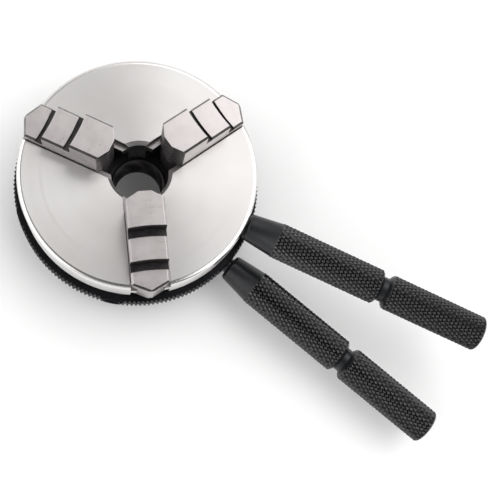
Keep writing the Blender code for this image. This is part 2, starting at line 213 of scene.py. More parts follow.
WORLD_LOBES = (  # direction, cosine where it starts, cosine where it is full, strength
    ((0.0, 0.0, 1.0), 0.10, 0.60, 0.12),
    ((0.0, 0.35, 0.94), 0.50, 0.95, 0.07),
    ((-0.1, 0.75, 0.66), 0.72, 0.95, 0.28),
    ((0.50, 0.60, 0.75), 0.80, 0.96, 0.58),
    ((0.30, 0.42, 0.86), 0.945, 0.985, 1.35),
    ((0.48, -0.10, 0.87), 0.93, 0.985, 1.35),
    ((-0.85, 0.0, 0.50), 0.60, 0.92, 0.25),
)
WORLD_COLOUR = (1.0, 0.99, 0.985, 1.0)
LAMPS = (  # name, place in mm, size in metres, power in watts
    ("right_box", (580.0, -120.0, 420.0), (1.2, 0.8), 4.4),
    ("left_box", (-560.0, 40.0, 360.0), (1.1, 0.7), 3.2),
    ("back_box", (0.0, 640.0, 300.0), (1.2, 0.6), 1.0),
    ("front_box", (-260.0, -600.0, 260.0), (1.0, 0.7), 1.0),
)
LAMP_TARGET = (0.0, 0.0, 20.0)

CAMERA_PLACE = (-12.064, -61.952, FACE_Z + 226.378)
CAMERA_LOOK = (0.219476, 0.205619, -0.953704)
CAMERA_UP = (0.079906, 0.970466, 0.227622)
CAMERA_WIDTH_DEG = 31.874
CAMERA_SHIFT = (-0.0876, -0.0850)
CAMERA_CLIP_M = (0.01, 10.0)

# Angles above which an edge is shaded sharp.
SHARP = math.radians(30.0)
JAW_SHARP = math.radians(3.0)
BAR_SHARP = math.radians(24.0)

# Places of the materials in the list of a piece that has several.
BODY_FACE, BODY_RIB, BODY_PAINTED_SHADE, BODY_RIM, BODY_MOUTH = range(5)
JAW_TOP, JAW_SIDE, JAW_EDGE, JAW_PAINTED_SHADE = range(4)
BAR_SMOOTH, BAR_KNURLED = range(2)

AXIS = Vector(next(j for j in frame["joints"] if j["name"] == "scroll_turn")["pos_m"])
AXIS.z = 0.0
workshop = bpy.data.collections.new("workshop")
bpy.context.scene.collection.children.link(workshop)


# Shapes


def arc(centre, radius, start_deg, end_deg, steps):
    """Points along a round stretch, from one angle to another."""
    turns = [math.radians(start_deg + (end_deg - start_deg) * i / steps) for i in range(steps + 1)]
    return [(centre[0] + radius * math.cos(a), centre[1] + radius * math.sin(a)) for a in turns]


def mesh_object(name, verts, faces):
    mesh = bpy.data.meshes.new(name)
    mesh.from_pydata([(x * MM, y * MM, z * MM) for x, y, z in verts], [], faces)
    bm = bmesh.new()
    bm.from_mesh(mesh)
    bmesh.ops.remove_doubles(bm, verts=bm.verts, dist=WELD_M)
    bmesh.ops.recalc_face_normals(bm, faces=bm.faces)
    bm.to_mesh(mesh)
    bm.free()
    obj = bpy.data.objects.new(name, mesh)
    workshop.objects.link(obj)
    return obj


def turned(name, profile, segments=ROUND_SEGMENTS):
    """A closed loop, or a chain that starts and ends on the axis, of (radius, height), spun about Z."""
    verts, rows = [], []
    for r, z in profile:
        if r < TINY:
            rows.append([len(verts)] * segments)
            verts.append((0.0, 0.0, z))
            continue
        rows.append(list(range(len(verts), len(verts) + segments)))
        for i in range(segments):
            a = 2.0 * math.pi * i / segments
            verts.append((r * math.cos(a), r * math.sin(a), z))
    on_axis = profile[0][0] < TINY
    faces = []
    for k in range(len(rows) if not on_axis else len(rows) - 1):
        low, high = rows[k], rows[(k + 1) % len(rows)]
        for i in range(segments):
            j = (i + 1) % segments
            corners = [low[i], low[j], high[j], high[i]]
            faces.append(list(dict.fromkeys(corners)))
    return mesh_object(name, verts, faces)


def prism(name, outline, low, high):
    n = len(outline)
    verts = [(x, y, low) for x, y in outline] + [(x, y, high) for x, y in outline]
    faces = [list(range(n)), list(range(n, 2 * n))]
    faces += [[i, (i + 1) % n, n + (i + 1) % n, n + i] for i in range(n)]
    return mesh_object(name, verts, faces)


def rod(name, radius, low, high, segments):
    return turned(name, [(0.0, low), (radius, low), (radius, high), (0.0, high)], segments)


def applied(obj):
    """The object's mesh with its modifiers applied, in the same object."""
    graph = bpy.context.evaluated_depsgraph_get()
    mesh = bpy.data.meshes.new_from_object(obj.evaluated_get(graph))
    obj.modifiers.clear()
    obj.data = mesh
    return obj


def combine(obj, cutters, operation="DIFFERENCE"):
    """Cuts (or unites, or intersects) the object with each cutter in turn and throws the cutters away."""
    for cutter in cutters:
        boolean = obj.modifiers.new("cut", "BOOLEAN")
        boolean.object = cutter
        boolean.operation = operation
        boolean.solver = "EXACT"
    applied(obj)
    for cutter in cutters:
        bpy.data.objects.remove(cutter, do_unlink=True)
    return obj


def bevelled(obj, width, angle_deg):
    bevel = obj.modifiers.new("edges", "BEVEL")
    bevel.width = width * MM
    bevel.segments = 2
    bevel.limit_method = "ANGLE"
    bevel.angle_limit = math.radians(angle_deg)
    bevel.use_clamp_overlap = True
    return applied(obj)


def placed(obj, matrix):
    obj.data.transform(matrix)
    return obj


def about_z(angle_deg):
    return Matrix.Rotation(math.radians(angle_deg), 4, "Z")


def shift(x, y, z):
    return Matrix.Translation((x * MM, y * MM, z * MM))


def spoke(angle_deg, height):
    """Turns local +Z to point outward along a radius at this height, with local +X pointing up."""
    outward = Vector((math.cos(math.radians(angle_deg)), math.sin(math.radians(angle_deg)), 0.0))
    up = Vector((0.0, 0.0, 1.0))
    turn = Matrix((up, outward.cross(up), outward)).transposed().to_4x4()
    return shift(0.0, 0.0, height) @ turn


def finished(obj, body, looks, replaces=(), sharp=SHARP):
    """Smooths the piece, moves it on to the chuck's axis, dresses it and hangs it on its body."""
    obj.data.materials.clear()
    for look in looks:
        obj.data.materials.append(look)
    obj.data.shade_smooth()
    obj.data.set_sharp_from_angle(angle=sharp)
    obj.location = obj.location + AXIS
    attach(obj, body)
    if replaces:
        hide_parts(*replaces)
    return obj


# Materials

NOISE_SPAN = (0.3, 0.7)  # between these values a noise has nearly all of its area


class Nodes:
    """A material under construction: short names for the few node types used here."""

    def __init__(self, name):
        self.material = bpy.data.materials.new(name)
        self.material.use_nodes = True
        self.tree = self.material.node_tree
        self.shader = self.tree.nodes["Principled BSDF"]

    def add(self, kind, **settings):
        node = self.tree.nodes.new(kind)
        for key, value in settings.items():
            setattr(node, key, value)
        return node

    def link(self, source, target):
        self.tree.links.new(source, target)

    def maths(self, operation, a, b=None):
        node = self.add("ShaderNodeMath", operation=operation)
        for i, value in enumerate((a, b)):
            if value is None:
                continue
            if isinstance(value, (int, float)):
                node.inputs[i].default_value = value
            else:
                self.link(value, node.inputs[i])
        return node.outputs[0]

    def position(self):
        return self.add("ShaderNodeTexCoord").outputs["Object"]

    def stretched(self, source, scale):
        node = self.add("ShaderNodeMapping")
        node.inputs["Scale"].default_value = scale
        self.link(source, node.inputs["Vector"])
        return node.outputs[0]

    def noise(self, source, scale, detail=3.0, roughness=0.5):
        node = self.add("ShaderNodeTexNoise")
        node.inputs["Scale"].default_value = scale
        node.inputs["Detail"].default_value = detail
        node.inputs["Roughness"].default_value = roughness
        self.link(source, node.inputs["Vector"])
        return node.outputs["Fac"]

    def colours(self, source, low, high):
        """Blends the shader's colour from low to high where a noise is usual."""
        node = self.add("ShaderNodeValToRGB")
        for element, place, colour in zip(node.color_ramp.elements, NOISE_SPAN, (low, high)):
            element.position = place
            element.color = (*colour, 1.0)
        self.link(source, node.inputs["Fac"])
        self.link(node.outputs["Color"], self.shader.inputs["Base Color"])

    def spread(self, source, low, high):
        """Stretches a noise to a value that runs from low to high."""
        node = self.add("ShaderNodeMapRange")
        node.inputs["From Min"].default_value, node.inputs["From Max"].default_value = NOISE_SPAN
        node.inputs["To Min"].default_value = low
        node.inputs["To Max"].default_value = high
        self.link(source, node.inputs["Value"])
        return node.outputs["Result"]

    def bump(self, height, strength, distance):
        node = self.add("ShaderNodeBump")
        node.inputs["Strength"].default_value = strength
        node.inputs["Distance"].default_value = distance
        self.link(height, node.inputs["Height"])
        self.link(node.outputs["Normal"], self.shader.inputs["Normal"])

    def radius(self):
        """Distance from the piece's own Z axis, as a vector along X with the height kept."""
        split = self.add("ShaderNodeSeparateXYZ")
        self.link(self.position(), split.inputs[0])
        squares = [self.maths("POWER", split.outputs[i], 2.0) for i in range(2)]
        square = self.maths("ADD", *squares)
        join = self.add("ShaderNodeCombineXYZ")
        self.link(self.maths("SQRT", square), join.inputs[0])
        self.link(split.outputs[2], join.inputs[2])
        return join.outputs[0]

    def set(self, **values):
        for key, value in values.items():
            name = key.replace("_", " ")
            self.shader.inputs[name].default_value = (*value, 1.0) if isinstance(value, tuple) else value


def turned_steel(name, smooth, rough, anisotropic):
    """Fine lathe marks round the chuck's axis on bright steel."""
    n = Nodes(name)
    n.set(Metallic=1.0, Anisotropic=anisotropic, Anisotropic_Rotation=0.25)
    marks = n.noise(n.radius(), scale=5200.0, detail=2.0)
    wide = n.noise(n.radius(), scale=420.0)
    stain = n.noise(n.position(), scale=45.0, detail=4.0)
    n.colours(stain, (0.70, 0.68, 0.67), (0.79, 0.78, 0.77))
    mixed = n.maths("ADD", n.maths("MULTIPLY", marks, 0.7), n.maths("MULTIPLY", wide, 0.3))
    n.link(n.spread(mixed, smooth, rough), n.shader.inputs["Roughness"])
    tangent = n.add("ShaderNodeTangent", direction_type="RADIAL", axis="Z")
    n.link(tangent.outputs[0], n.shader.inputs["Tangent"])
    n.bump(marks, strength=0.12, distance=0.00002)
    return n.material


def ground_steel(name, along, low, high):
    """Surface-ground steel: fine straight scratches, along the jaw or across it, and a faint mottle."""
    n = Nodes(name)
    n.set(Metallic=1.0)
    scale = (220.0, 7000.0, 800.0) if along else (7000.0, 220.0, 800.0)
    scratches = n.noise(n.stretched(n.position(), scale), scale=1.0, detail=2.0)
    stain = n.noise(n.position(), scale=260.0, detail=4.0, roughness=0.6)
    n.colours(stain, low, high)
    mottled = n.maths("ADD", n.maths("MULTIPLY", scratches, 0.6), n.maths("MULTIPLY", stain, 0.4))
    n.link(n.spread(mottled, 0.25, 0.37), n.shader.inputs["Roughness"])
    n.bump(scratches, strength=0.05, distance=0.00001)
    return n.material


def painted_shade_steel(name, low, high):
    """Steel in darker tones that stand in for light and shade: painted shade in the slots, the bore, the
    relief grooves and on edges, and a lighter painted tone on the front jaw's edges.
    """
    n = Nodes(name)
    n.set(Metallic=1.0)
    stain = n.noise(n.position(), scale=260.0, detail=4.0, roughness=0.6)
    n.colours(stain, low, high)
    n.link(n.spread(n.noise(n.position(), scale=900.0), 0.3, 0.5), n.shader.inputs["Roughness"])
    n.bump(stain, strength=0.15, distance=0.0001)
    return n.material


def black_oxide(name, low, high, rough, gloss):
    """Blackened steel with a trace of oil. Its roughness varies a little to both sides of `rough`."""
    n = Nodes(name)
    n.set(Metallic=0.0, IOR=1.5, Specular_IOR_Level=gloss)
    cloud = n.noise(n.position(), scale=170.0, detail=4.0, roughness=0.6)
    grain = n.noise(n.position(), scale=2600.0, detail=2.0)
    n.colours(cloud, low, high)
    n.link(n.spread(grain, rough - 0.07, rough + 0.07), n.shader.inputs["Roughness"])
    n.bump(grain, strength=0.12, distance=0.00003)
    return n.material


# Body


def slot_cutter(index):
    """A jaw's slot: two guide ribs reach into it, and its upper edges are broken."""
    half = SLOT_W / 2.0
    waist = half - RIB_REACH
    rib_top = FACE_Z - RIB_TOP_DEPTH
    rib_bottom = FACE_Z - RIB_BOTTOM_DEPTH
    right = [
        (half, SLOT_FLOOR_Z),
        (half, rib_bottom),
        (waist, rib_bottom),
        (waist, rib_top),
        (half, rib_top),
        (half, FACE_Z - SLOT_EDGE),
        (half + SLOT_EDGE + OVERCUT, FACE_Z + OVERCUT),
    ]
    outline = right + [(-x, z) for x, z in reversed(right)]
    cutter = prism("slot_cutter", outline, BORE_R / 2.0, BODY_R + 2.0 * OVERCUT)
    stand = about_z(90.0) @ Matrix.Rotation(math.radians(90.0), 4, "X")
    return placed(cutter, about_z(jaw_angle(index)) @ stand)


def bar_hole_cutter(angle_deg, height, rim_r):
    """A radial hole for a bar's pin, with its mouth broken by a small chamfer."""
    far = rim_r + OVERCUT
    mouth = rim_r - HOLE_CHAMFER
    profile = [
        (0.0, rim_r - HOLE_DEPTH),
        (BAR_HOLE_R, rim_r - HOLE_DEPTH),
        (BAR_HOLE_R, mouth),
        (BAR_HOLE_R + HOLE_CHAMFER + OVERCUT, far),
        (0.0, far),
    ]
    return placed(turned("bar_hole", profile, 48), spoke(angle_deg, height))


def jaw_angle(index):
    return -90.0 + index * 360.0 / JAWS


def at_screw(index):
    return about_z(jaw_angle(index) + 180.0 / JAWS) @ shift(SCREW_CIRCLE_R, 0.0, 0.0)


def inside_thread(name, low, high):
    """A sleeve whose inner wall is the spindle thread."""
    segments = THREAD_SEGMENTS
    rows = round((high - low) / THREAD_PITCH * THREAD_ROWS_PER_TURN)
    verts, faces = [], []
    for k in range(rows + 1):
        z = low + (high - low) * k / rows
        for i in range(segments):
            turn = i / segments
            phase = (z / THREAD_PITCH - turn) % 1.0
            flank = min(1.0, max(0.0, (abs(phase - 0.5) * 2.0 - THREAD_CREST) / THREAD_FLANKS))
            r = THREAD_MINOR_R + (THREAD_MAJOR_R - THREAD_MINOR_R) * flank
            a = 2.0 * math.pi * turn
            verts.append((r * math.cos(a), r * math.sin(a), z))
    for z in (low, high):
        for i in range(segments):
            a = 2.0 * math.pi * i / segments
            verts.append((THREAD_SLEEVE_R * math.cos(a), THREAD_SLEEVE_R * math.sin(a), z))
    bottom, top = (rows + 1) * segments, (rows + 2) * segments
    for i in range(segments):
        j = (i + 1) % segments
        for k in range(rows):
            row = k * segments
            faces.append([row + i, row + j, row + segments + j, row + segments + i])
        last = rows * segments
        faces += [[i, bottom + i, bottom + j, j], [last + i, top + i, top + j, last + j]]
        faces.append([bottom + i, top + i, top + j, bottom + j])
    return mesh_object(name, verts, faces)


def body_look(face):
    """Which of the body's materials a face has, from where it lies and how it is turned."""
    r = math.hypot(face.center.x, face.center.y) / MM
    z = face.center.z / MM
    up = face.normal.z
    if r > BODY_R - EDGE_ROUND - EDGE_LIP + CLOSE:
        return BODY_RIM if z > FACE_Z - EDGE_ROUND - EDGE_LIP + CLOSE else BODY_FACE
    mouth = BORE_R < r < BORE_MOUTH_R and FACE_Z - BORE_MOUTH_DEPTH < z
    if mouth and 0.3 < up < 0.95:
        return BODY_MOUTH
    if z > FACE_Z - SLOT_EDGE - CLOSE:
        return BODY_FACE
    # Below the face: rib tops take the darker copy of the ground steel, painted shade, and the slot walls,
    # bore, hub and underside take the darkest painted shade.
    on_rib = up > 0.5 and z > FACE_Z - RIB_BOTTOM_DEPTH + NEAR
    return BODY_RIB if on_rib else BODY_PAINTED_SHADE


def body_piece(steel, rib_steel, painted_shade, rim_steel, mouth_steel, thread_steel):
    profile = [
        (BODY_R - EDGE_ROUND - EDGE_LIP, FACE_Z),
        *arc((BODY_R - EDGE_ROUND, FACE_Z - EDGE_ROUND), EDGE_ROUND, 90.0, 0.0, 8),
        (BODY_R, FACE_Z - EDGE_ROUND - EDGE_LIP),
        (BODY_R, BODY_UNDER_Z + EDGE_BREAK),
        (BODY_R - EDGE_BREAK, BODY_UNDER_Z),
        (HUB_R, BODY_UNDER_Z),
        (HUB_R, HUB_END_Z),
        (THREAD_BORE_R, HUB_END_Z),
        (THREAD_BORE_R, BORE_FLOOR_Z - (BORE_R - THREAD_BORE_R)),
        (BORE_R, BORE_FLOOR_Z),
        (BORE_R, FACE_Z - BORE_MOUTH_DEPTH),
        (BORE_MOUTH_R, FACE_Z),
    ]
    body = turned("body", profile)
    cutters = [slot_cutter(i) for i in range(JAWS)]
    cutters.append(bar_hole_cutter(BODY_BAR_DEG, BODY_BAR_Z, BODY_R - SPOT_FACE_DEPTH))
    spot = rod("spot_face", SPOT_FACE_R, BODY_R - SPOT_FACE_DEPTH, BODY_R + OVERCUT, 64)
    cutters.append(placed(spot, spoke(BODY_BAR_DEG, BODY_BAR_Z)))
    for i in range(JAWS):
        tapped = rod("tapped_hole", TAPPED_R, HUB_END_Z - OVERCUT, HUB_END_Z + TAPPED_DEPTH, 32)
        cutters.append(placed(tapped, at_screw(i)))
    combine(body, cutters)
    looks = [steel, rib_steel, painted_shade, rim_steel, mouth_steel]
    finished(body, "chuck_body", looks, ["front_body"])
    for face in body.data.polygons:
        face.material_index = body_look(face)
    thread_end = BORE_FLOOR_Z - (BORE_R - THREAD_MINOR_R)
    # The thread takes a darker tone of steel: painted shade down in the bore.
    thread = inside_thread("hub_thread", HUB_END_Z + THREAD_END_GAP, thread_end)
    finished(thread, "chuck_body", [thread_steel])


# Scroll ring


def scroll_groove():
    """The spiral groove as a cutter that runs in from the hub and out past the ring's rim."""
    first = 360.0 * (HUB_R - GROOVE_RUN_IN - SCROLL_R0) / PITCH
    last = 360.0 * (SCROLL_R + GROOVE_RUN_OUT - SCROLL_R0) / PITCH
    steps = math.ceil((last - first) / GROOVE_STEP_DEG)
    inner, outer = [], []
    for i in range(steps + 1):
        turn = first + (last - first) * i / steps
        r = SCROLL_R0 + PITCH * turn / 360.0
        a = math.radians(turn)
        for side, wall_r in ((inner, r - GROOVE_W / 2.0), (outer, r + GROOVE_W / 2.0)):
            side.append((wall_r * math.cos(a), wall_r * math.sin(a)))
    low, high = RING_TOP_Z - GROOVE_DEPTH, RING_TOP_Z + OVERCUT
    n = steps + 1
    verts = [(x, y, z) for z in (low, high) for side in (inner, outer) for x, y in side]
    faces = []
    for i in range(steps):
        a, b, c, d = i, n + i, 2 * n + i, 3 * n + i
        for left, right in ((a, b), (c, d), (a, c), (b, d)):
            faces.append([left, left + 1, right + 1, right])
    faces += [[0, n, 3 * n, 2 * n], [n - 1, 2 * n - 1, 4 * n - 1, 3 * n - 1]]
    return mesh_object("scroll_groove", verts, faces)


def knurled_prism(low, high):
    """A star-shaped prism: the straight knurl, with its tips left proud to be turned down."""
    root = RING_R - RING_KNURL_DEPTH
    tooth = [(0.0, RING_R + RING_KNURL_PROUD)] + [(share, root) for share in RING_KNURL_ROOT]
    outline = []
    for i in range(RING_KNURLS):
        for k, r in tooth:
            a = 2.0 * math.pi * (i + k) / RING_KNURLS
            outline.append((r * math.cos(a), r * math.sin(a)))
    return prism("knurl", outline, low, high)


def ring_piece(black):
    profile = [
        (SCROLL_R, RING_TOP_Z),
        (SCROLL_R, RING_RIM_Z),
        (RING_R - EDGE_BREAK, RING_RIM_Z),
        (RING_R, RING_RIM_Z - EDGE_BREAK),
        (RING_R, HUB_END_Z + EDGE_BREAK),
        (RING_R - EDGE_BREAK, HUB_END_Z),
        (SCROLL_BORE_R, HUB_END_Z),
        (SCROLL_BORE_R, RING_TOP_Z),
    ]
    ring = turned("scroll_ring_knurled", profile, 2 * RING_KNURLS)
    hole_angles = [RING_HOLE_DEG + i * 360.0 / RING_HOLES for i in range(RING_HOLES)]
    knurl = knurled_prism(HUB_END_Z - OVERCUT, RING_TOP_Z + OVERCUT)
    collars = [rod("collar", RING_COLLAR_R, SCROLL_R, RING_R + OVERCUT, 64) for _ in hole_angles]
    for collar, angle in zip(collars, hole_angles):
        placed(collar, spoke(angle, RING_BAR_Z))
    combine(knurl, collars, "UNION")
    combine(ring, [knurl], "INTERSECT")
    holes = [bar_hole_cutter(angle, RING_BAR_Z, RING_R) for angle in hole_angles]
    combine(ring, [scroll_groove()] + holes)
    finished(ring, "scroll", [black], ["scroll_ring"])


# Back plate and screws


def plate_piece(black, thread_steel):
    profile = [
        (PLATE_R - EDGE_BREAK, PLATE_TOP_Z),
        (PLATE_R, PLATE_TOP_Z - EDGE_BREAK),
        (PLATE_R, PLATE_CHAMFER),
        (PLATE_R - PLATE_CHAMFER, 0.0),
        (THREAD_BORE_R + PLATE_BORE_CHAMFER, 0.0),
        (THREAD_BORE_R, PLATE_BORE_CHAMFER),
        (THREAD_BORE_R, PLATE_TOP_Z),
    ]
    disc = turned("back_plate_turned", profile)
    cutters = []
    for i in range(JAWS):
        counterbore = rod("counterbore", COUNTERBORE_R, -OVERCUT, COUNTERBORE_DEPTH, 48)
        clearance = rod("clearance", CLEARANCE_R, -OVERCUT, PLATE_TOP_Z + OVERCUT, 32)
        cutters += [placed(cutter, at_screw(i)) for cutter in (counterbore, clearance)]
    combine(disc, cutters)
    finished(disc, "chuck_body", [black], ["back_plate"])
    # The thread takes a darker tone of steel: painted shade down in the bore.
    thread = inside_thread("plate_thread", PLATE_BORE_CHAMFER, PLATE_TOP_Z - THREAD_END_GAP)
    finished(thread, "chuck_body", [thread_steel])


def screw_piece(index, black):
    head_top = SCREW_SINK + SCREW_HEAD_H
    end = head_top + SCREW_LENGTH
    round_r = SCREW_HEAD_ROUND
    rounded = arc((SCREW_HEAD_R - round_r, SCREW_SINK + round_r), round_r, 0.0, -90.0, 5)
    profile = [
        (0.0, end),
        (SCREW_SHANK_R - SCREW_TIP_CHAMFER, end),
        (SCREW_SHANK_R, end - SCREW_TIP_CHAMFER),
        (SCREW_SHANK_R, head_top),
        (SCREW_HEAD_R, head_top),
        *rounded,
        (0.0, SCREW_SINK),
    ]
    screw = turned(f"cap_screw_{index + 1}", profile, 48)
    corner = SCREW_SOCKET_AF / math.sqrt(3.0)
    combine(screw, [rod("socket", corner, -OVERCUT, SCREW_SINK + SCREW_SOCKET_DEPTH, 6)])
    placed(screw, at_screw(index))
    finished(screw, "chuck_body", [black], [f"plate_screw_{index + 1}"])


# Jaws


def bow(u_mid, radius, half):
    """A round line across a jaw whose middle bulges outward, as (along, across) points."""
    across = [half * (2.0 * i / BOW_STEPS - 1.0) for i in range(BOW_STEPS + 1)]
    return [(u_mid - radius + math.sqrt(radius**2 - t**2), t) for t in across]


def hollow(u_mid, radius, half):
    """The same line with its middle bulging inward."""
    return [(2.0 * u_mid - u, t) for u, t in bow(u_mid, radius, half)]


def edge_cutter(start, end, height, size):
    """A three-cornered cutter that chamfers the jaw's top edge from one (along, across) point to another.

    The jaw's metal lies to the left of the way from start to end.
    """
    a, b = Vector(start), Vector(end)
    way = (b - a).normalized()
    out = Vector((way.y, -way.x))
    far = 1.5 * size
    shape = [(-size - far, far), (far, far), (far, -size - far)]
    verts = []
    for point in (a, b):
        for across, up in shape:
            p = point + out * across
            verts.append((p.x, p.y, height + up))
    faces = [[0, 1, 2], [3, 4, 5], [0, 1, 4, 3], [1, 2, 5, 4], [2, 0, 3, 5]]
    return mesh_object("edge_cutter", verts, faces)


def step_cutters(wide, far):
    """What the jaw's two steps take away, each with a relief groove at the foot of its riser."""
    cutters = []
    for i, end in enumerate(STEP_ENDS):
        riser = hollow(end, RISER_R, wide)
        low = FACE_Z + STEP_TOPS[i + 1]
        beyond = riser + [(far, riser[-1][1]), (far, riser[0][1])]
        cutters.append(prism("step", beyond, low, FACE_Z + STEP_TOPS[0] + OVERCUT))
        band = riser + list(reversed(hollow(end + RELIEF_W, RISER_R, wide)))
        cutters.append(prism("relief", band, low - RELIEF_DEPTH, low + OVERCUT))
    return cutters


def guide_cutters(wide, far):
    """The grooves in the jaw's sides that slide on the body's ribs."""
    low = FACE_Z - RIB_BOTTOM_DEPTH - GUIDE_GAP
    high = FACE_Z - RIB_TOP_DEPTH + GUIDE_GAP
    inner = SLOT_W / 2.0 - RIB_REACH - GUIDE_GAP
    cutters = []
    for side in (-1.0, 1.0):
        box = [(0.0, side * inner), (far, side * inner), (far, side * wide), (0.0, side * wide)]
        cutters.append(prism("guide", box, low, high))
    return cutters


def tooth_gap_cutters(index, wide, far):
    """The gaps around the scroll teeth, which sit a third of the pitch further on from jaw to jaw."""
    places_start = (SCROLL_R0 + PITCH * jaw_angle(index) / 360.0) % PITCH
    last = places_start + PITCH * math.floor((OUTERMOST_TOOTH_U - places_start) / PITCH + TINY)
    bounds = [[(0.0, -wide), (0.0, wide)]]
    for k in reversed(range(TEETH)):
        u = last - PITCH * k
        bounds.append(bow(u - TOOTH_W / 2.0, TOOTH_INNER_R, wide))
        bounds.append(bow(u + TOOTH_W / 2.0, TOOTH_OUTER_R, wide))
    bounds.append([(far, -wide), (far, wide)])
    cutters = []
    for before, after in zip(bounds[::2], bounds[1::2]):
        gap = before + list(reversed(after))
        cutters.append(prism("tooth_gap", gap, TOOTH_TIP_Z - OVERCUT, BODY_UNDER_Z))
    return cutters


def chamfer_cutters(half, far):
    """The broken upper edges along the jaw's sides, step by step, and round its tail."""
    cutters = []
    changes = [end + RELIEF_W / 2.0 for end in STEP_ENDS]
    for top, start, end in zip(STEP_TOPS, [-OVERCUT] + changes, changes + [far]):
        cutters.append(edge_cutter((start, -half), (end, -half), FACE_Z + top, JAW_CHAMFER))
        cutters.append(edge_cutter((end, half), (start, half), FACE_Z + top, JAW_CHAMFER))
    tail = TAIL_TIP_W / 2.0
    for a, b in (((TAIL_U, -half), (TAIL_TIP_U, -tail)), ((TAIL_TIP_U, tail), (TAIL_U, half))):
        way = (Vector(b) - Vector(a)).normalized() * 2.0 * OVERCUT
        cutters.append(edge_cutter(Vector(a) - way, Vector(b) + way, FACE_Z + STEP_TOPS[2], JAW_CHAMFER))
    return cutters


def serration_cutters(wide):
    """Level grooves across the jaw's nose, narrower at their roots."""
    back, front = NOSE_U - SERRATION_DEPTH, NOSE_U + SERRATION_DEPTH
    section = (
        (back, -SERRATION_MOUTH),
        (front, -SERRATION_ROOT),
        (front, SERRATION_ROOT),
        (back, SERRATION_MOUTH),
    )
    faces = [[0, 1, 2, 3], [4, 5, 6, 7], [0, 1, 5, 4], [1, 2, 6, 5], [2, 3, 7, 6], [3, 0, 4, 7]]
    cutters = []
    for k in range(SERRATIONS):
        z = FACE_Z + STEP_TOPS[0] - SERRATION_START - k * SERRATION_PITCH
        verts = [(u, t, z + up) for t in (-wide, wide) for u, up in section]
        cutters.append(mesh_object("serration", verts, faces))
    return cutters


def in_relief(along, above):
    """Whether a spot on a jaw lies on a riser or in the relief groove at its foot."""
    for end, top, higher in zip(STEP_ENDS, STEP_TOPS[1:], STEP_TOPS):
        in_band = end - RISER_BOW < along < end + RELIEF_W + RISER_BOW
        in_height = top - RELIEF_DEPTH - NEAR < above < higher - NEAR
        if in_band and in_height and (above < top - NEAR or along < end + RISER_BOW):
            return True
    return False


def jaw_look(face, turn):
    """Which of a jaw's materials a face has. The mesh points along +X, and turn is where the jaw points."""
    along, across = face.center.x / MM, abs(face.center.y) / MM
    above = face.center.z / MM - FACE_Z
    up = face.normal.z
    to_front = -face.normal.x * math.sin(turn) - face.normal.y * math.cos(turn)
    chamfer = 0.5 < up < 0.9
    # Painted shade: risers and relief grooves, the parts down in the slot and the chamfers facing the front
    # take the darkest steel.
    relief_shade = across < JAW_W / 2.0 - 2.0 * CLOSE and in_relief(along, above)
    in_slot = above < JAW_PAINTED_SHADE_BELOW and along < TAIL_U
    if relief_shade or in_slot or chamfer and to_front > 0.3:
        return JAW_PAINTED_SHADE
    # Painted shade: the other chamfers and the nose faces take a darker edge steel, with a lighter painted
    # tone on the front jaw.
    if chamfer or along < SHOULDER_U - NEAR and up < 0.5:
        return JAW_EDGE
    # Side faces take the darker copy of the ground steel: painted shade.
    return JAW_SIDE if up < 0.5 else JAW_TOP


def jaw_piece(index, top_steel, side_steel, edge_steel, painted_shade):
    half, nose = JAW_W / 2.0, NOSE_W / 2.0
    wide = half + OVERCUT
    far = TAIL_TIP_U + 3.0 * OVERCUT
    upper = [(NOSE_U, nose), (SHOULDER_U, half), (TAIL_U, half), (TAIL_TIP_U, TAIL_TIP_W / 2.0)]
    outline = upper + [(u, -t) for u, t in reversed(upper)]
    jaw = prism(f"stepped_jaw_{index + 1}", outline, TOOTH_TIP_Z, FACE_Z + STEP_TOPS[0])
    combine(jaw, step_cutters(wide, far) + guide_cutters(wide, far))
    combine(jaw, tooth_gap_cutters(index, wide, far))
    combine(jaw, chamfer_cutters(half, far))
    combine(jaw, serration_cutters(wide))
    bevelled(jaw, JAW_BREAK, JAW_BREAK_ANGLE_DEG)
    turn = math.radians(jaw_angle(index))
    jaw.rotation_euler = (0.0, 0.0, turn)
    node = f"jaw_{index + 1}"
    finished(jaw, node, [top_steel, side_steel, edge_steel, painted_shade], [node], JAW_SHARP)
    for face in jaw.data.polygons:
        face.material_index = jaw_look(face, turn)


# Bars


